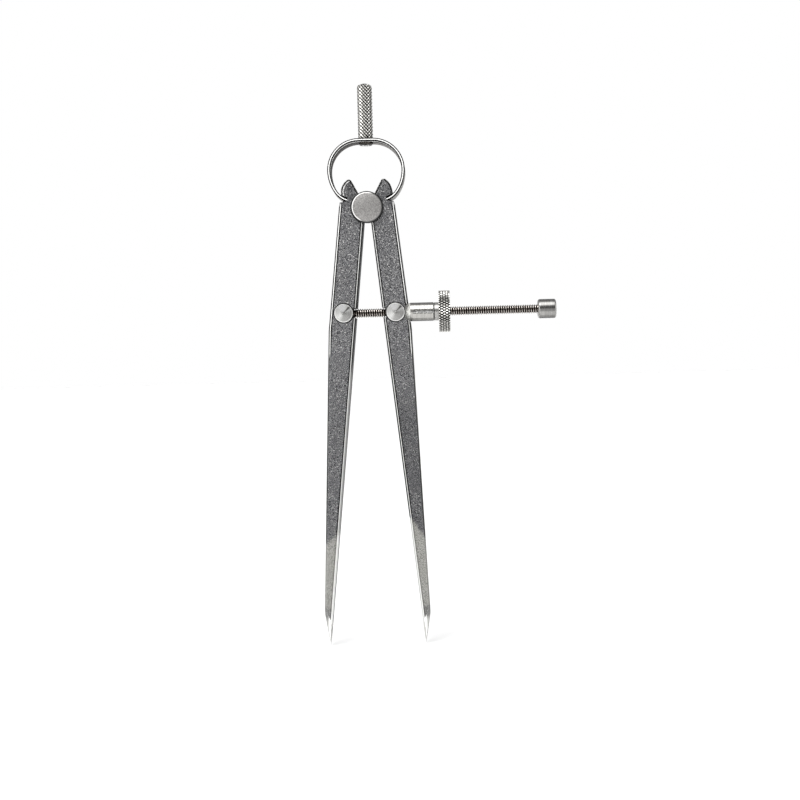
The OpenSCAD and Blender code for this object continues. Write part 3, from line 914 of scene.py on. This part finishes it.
def screw_piece():
    """A helical thread from the left post to the knob, on plain ends."""
    low, high = node_box("adjusting_screw")
    start = left_pin.x + THREAD_FROM_POST
    end = high.x - KNOB_SEAT + KNOB_OVERLAP
    turns = round((end - start) / THREAD_PITCH)
    bm = bmesh.new()
    crest = THREAD_GAP + THREAD_FLANK
    crest_end = crest + THREAD_CREST
    outline = [(0, THREAD_ROOT), (THREAD_GAP, THREAD_ROOT), (crest, THREAD_TOP)]
    outline += [(crest_end, THREAD_TOP), (crest_end + THREAD_FLANK, THREAD_ROOT)]
    outline.append((THREAD_PITCH, THREAD_ROOT))
    verts, edges = chain(bm, [Vector((start + a, 0, screw_z + r)) for a, r in outline])
    bmesh.ops.spin(
        bm,
        geom=verts + edges,
        cent=(start, 0, screw_z),
        axis=X_AXIS,
        dvec=X_AXIS * (THREAD_PITCH / THREAD_STEPS),
        angle=math.tau * turns,
        steps=THREAD_STEPS * turns,
    )
    bmesh.ops.remove_doubles(bm, verts=bm.verts, dist=0.004)
    # Both ends are cut square, closed and set on plain rods
    first, last = start + THREAD_PITCH, start + THREAD_PITCH * turns
    for x, side in ((first, 1), (last, -1)):
        bmesh.ops.bisect_plane(
            bm,
            geom=list(bm.verts) + list(bm.edges) + list(bm.faces),
            dist=1e-5,
            plane_co=(x, 0, screw_z),
            plane_no=(-side, 0, 0),
            clear_outer=True,
        )
    bmesh.ops.holes_fill(bm, edges=[e for e in bm.edges if e.is_boundary], sides=0)
    for a, b in ((low.x, first), (last, high.x)):
        plain = rod(X_AXIS, (a, 0, screw_z), b - a, THREAD_TOP)
        spare = bpy.data.meshes.new("plain_end")
        plain.to_mesh(spare)
        plain.free()
        bm.from_mesh(spare)
    piece = new_piece("adjusting_screw_threaded", bm, screw_steel)
    place_piece(piece, "screw", "screw_steel", "adjusting_screw")


# Fulcrum


def stud_piece():
    """The stud: a disc in front of the legs, a shank through them and a riveted tail."""
    low, high = node_box("fulcrum_stud")
    washer_low, washer_high = node_box("fulcrum_washer")
    disc_back = low.y + washer_high.y - washer_low.y
    rivet = washer_high.y + 0.02
    outline = [(low.y, 0), (low.y, DISC_R - 0.28), (low.y + 0.06, DISC_R - 0.1)]
    outline += [(low.y + 0.2, DISC_R), (disc_back - 0.1, DISC_R), (disc_back, DISC_R - 0.1)]
    outline += [(disc_back, SHANK_R), (washer_low.y, SHANK_R), (washer_low.y, TAIL_R)]
    outline += [(rivet, TAIL_R), (rivet, RIVET_R), (high.y - 0.15, RIVET_R - 0.1)]
    outline += [(high.y, TAIL_R - 0.1), (high.y, 0)]
    bm = turned(outline, Y_AXIS, (fulcrum.x, 0, fulcrum.z), 96)
    piece = new_piece("fulcrum_stud_faced", bm, disc_steel)
    place_piece(piece, "frame", "disc_steel", "fulcrum_stud")


def washer_piece():
    """The washer behind the legs, which the stud's tail is riveted over."""
    low, high = node_box("fulcrum_washer")
    bore, edge = TAIL_R + 0.03, 0.25
    outline = [(low.y, bore), (low.y, WASHER_R - 0.1), (low.y + 0.1, WASHER_R)]
    outline += [(high.y - edge, WASHER_R), (high.y, WASHER_R - edge), (high.y, bore), (low.y, bore)]
    bm = turned(outline, Y_AXIS, (fulcrum.x, 0, fulcrum.z), 72)
    piece = new_piece("fulcrum_washer_edged", bm, disc_steel)
    place_piece(piece, "frame", "disc_steel", "fulcrum_washer")


# Swivel posts


def post_piece(side, pin, body, *cuts):
    """A round bar with a low coned head, faced with fine rings."""
    node = f"{side}_post"
    low, high = node_box(node)
    back, front = high.y, low.y + HEAD_CONE
    neck = front + HEAD_T
    outline = [(back, 0), (back, POST_R - 0.2), (back - 0.2, POST_R), (neck, POST_R)]
    outline += [(neck, HEAD_R), (front + 0.2, HEAD_R), (front, HEAD_R - 0.18)]
    outermost, inmost = HEAD_R - 0.3, 0.25
    for i in range(2 * HEAD_RINGS + 1):
        r = outermost - i * (outermost - inmost) / (2 * HEAD_RINGS)
        rise = HEAD_CONE * (HEAD_R - r) / HEAD_R
        outline.append((front - rise + (RING_DEPTH if i % 2 else 0), r))
    outline.append((front - HEAD_CONE + 0.12, 0))
    middle = Vector((pin.x, 0, screw_z))
    bm = turned(outline, Y_AXIS, middle, 72)
    steel = post_finish(f"bright_steel_post_{side}", middle).material
    piece = carve(new_piece(f"{node}_faced", bm, steel), *cuts)
    place_piece(piece, body, "bright_steel", node)


def left_post():
    """The post that the screw's end is pinned in."""
    seat = rod(X_AXIS, Vector((left_pin.x - SCREW_SEAT, 0, screw_z)), 8, SEAT_R)
    pin_hole = rod(Y_AXIS, Vector((left_pin.x, -1.5, screw_z)), 8, PIN_HOLE_R)
    post_piece("left", left_pin, "screw", seat, pin_hole)


def right_post():
    """The post that the screw slides through."""
    start = Vector((right_pin.x - HEAD_R - 1, 0, screw_z))
    post_piece("right", right_pin, "swivel", rod(X_AXIS, start, 2 * HEAD_R + 2, SCREW_BORE))


disc_steel = disc_finish().material
spring_steel = spring_finish().material
handle_steel = handle_finish().material
nut_steel = nut_finish().material
screw_steel = screw_finish().material

for side in (-1, 1):
    bow_half(side)
stud_piece()
washer_piece()
handle_piece()
nut_piece()
screw_piece()
left_post()
right_post()

# Plain nodes keep their shape and take a finish
finishes = {
    "left_leg": leg_finish(-1),
    "right_leg": leg_finish(1),
    # The burr is painted dark, partly its own colour and partly the shade under the bow
    "handle_burr": turned_finish("burr_steel", (0.03, 0.027, 0.024), (0.17, 0.155, 0.14), 0.4),
    "screw_pin": turned_finish("pin_steel", (0.30, 0.29, 0.28), (0.45, 0.44, 0.42), 0.35),
    # The knob takes painted shade along its front
    "end_knob": turned_finish("knob_steel", (0.27, 0.266, 0.258), (0.44, 0.435, 0.42), 0.2, 0.5),
    "closing_sleeve": sleeve_finish(),
}
for node, finish in finishes.items():
    mesh = frame["nodes"][node].data
    mesh.materials.clear()
    mesh.materials.append(finish.material)


# Camera: square to the tool's front, at the photograph's distance, rolled a little

VIEW_DISTANCE = 440.0
FOCAL_PIXELS, FRAME_PIXELS = 1283.4, 800.0
SQUARE_ON = (440.0, 365.0)
VIEW_X, VIEW_Z = 23.46, -77.88
ROLL = math.radians(-1.48)

camera_data = bpy.data.cameras.new("camera")
camera_data.sensor_width = 36.0
camera_data.lens = FOCAL_PIXELS * camera_data.sensor_width / FRAME_PIXELS
camera_data.shift_x = 0.5 - SQUARE_ON[0] / FRAME_PIXELS
camera_data.shift_y = SQUARE_ON[1] / FRAME_PIXELS - 0.5
camera_data.clip_start = 0.01
camera_data.clip_end = 20.0
camera = bpy.data.objects.new("camera", camera_data)
bpy.context.scene.collection.objects.link(camera)
right = Vector((math.cos(ROLL), 0, math.sin(ROLL)))
up = Vector((-math.sin(ROLL), 0, math.cos(ROLL)))
rolled = Matrix((right, up, -Y_AXIS)).transposed().to_4x4()
stand = Vector((VIEW_X, -VIEW_DISTANCE, VIEW_Z)) * MM
camera.matrix_world = Matrix.Translation(stand) @ rolled
bpy.context.scene.camera = camera


# Floor and light, in metres

LIGHTS_AIM = Vector((0.0, 0.0, -0.06))


def lay_floor():
    """A pale matt floor just under the points."""
    bm = bmesh.new()
    bmesh.ops.create_grid(bm, x_segments=1, y_segments=1, size=9.0)
    bmesh.ops.translate(bm, vec=(0, 0, cad_box[0].z - 0.0002), verts=bm.verts)
    mesh = bpy.data.meshes.new("floor")
    bm.to_mesh(mesh)
    bm.free()
    floor = bpy.data.objects.new("floor", mesh)
    bpy.context.scene.collection.objects.link(floor)
    paint = Finish("floor_paint", 0.0, 1.0)
    paint.set("Base Color", grey(0.94))
    paint.set("Specular IOR Level", 0.0)
    mesh.materials.append(paint.material)


def softbox(name, spot, size, power):
    """A rectangular soft light that faces the tool."""
    data = bpy.data.lights.new(name, "AREA")
    data.shape = "RECTANGLE"
    data.size, data.size_y = size
    data.energy = power
    lamp = bpy.data.objects.new(name, data)
    bpy.context.scene.collection.objects.link(lamp)
    lamp.location = spot
    aim = LIGHTS_AIM - Vector(spot)
    lamp.rotation_mode = "QUATERNION"
    lamp.rotation_quaternion = aim.to_track_quat("-Z", "Y")


def light_studio():
    """Soft light all round, uneven for the steel to mirror, and white where the camera looks."""
    world = bpy.data.worlds.new("studio")
    bpy.context.scene.world = world
    world.use_nodes = True
    tent = world.node_tree
    root = Wire(tent, None)
    east, away, height = root.node("ShaderNodeTexCoord", out=DIRECTION).split()
    # A bright bank above the camera, pale sides, a dim dome and a dimmer front
    bank = (height * 0.83 - away * 0.5 - east * 0.25).step(0.8, 0.95) * 2.4
    sides = abs(east).step(0.7, 0.95) * 1.3
    dome = height.step(-0.1, 0.6) * 0.2 + away.step(0.2, 0.8) * 0.2
    lit = bank + sides + dome + 0.3
    path = root.node("ShaderNodeLightPath", out=0)
    seen = path.node("ShaderNodeMix", {"data_type": "FLOAT"}, out=0, _0=path, _2=lit, _3=1.0)
    background = tent.nodes["Background"].inputs
    plug(tent, background["Strength"], seen)
    plug(tent, background["Color"], grey(1.0))


lay_floor()
softbox("key_light", (-0.35, -0.75, 1.1), (0.5, 0.4), 5)
softbox("left_light", (-1.3, -0.5, 0.2), (0.3, 0.9), 3)
light_studio()
bpy.context.scene.view_settings.view_transform = "Standard"
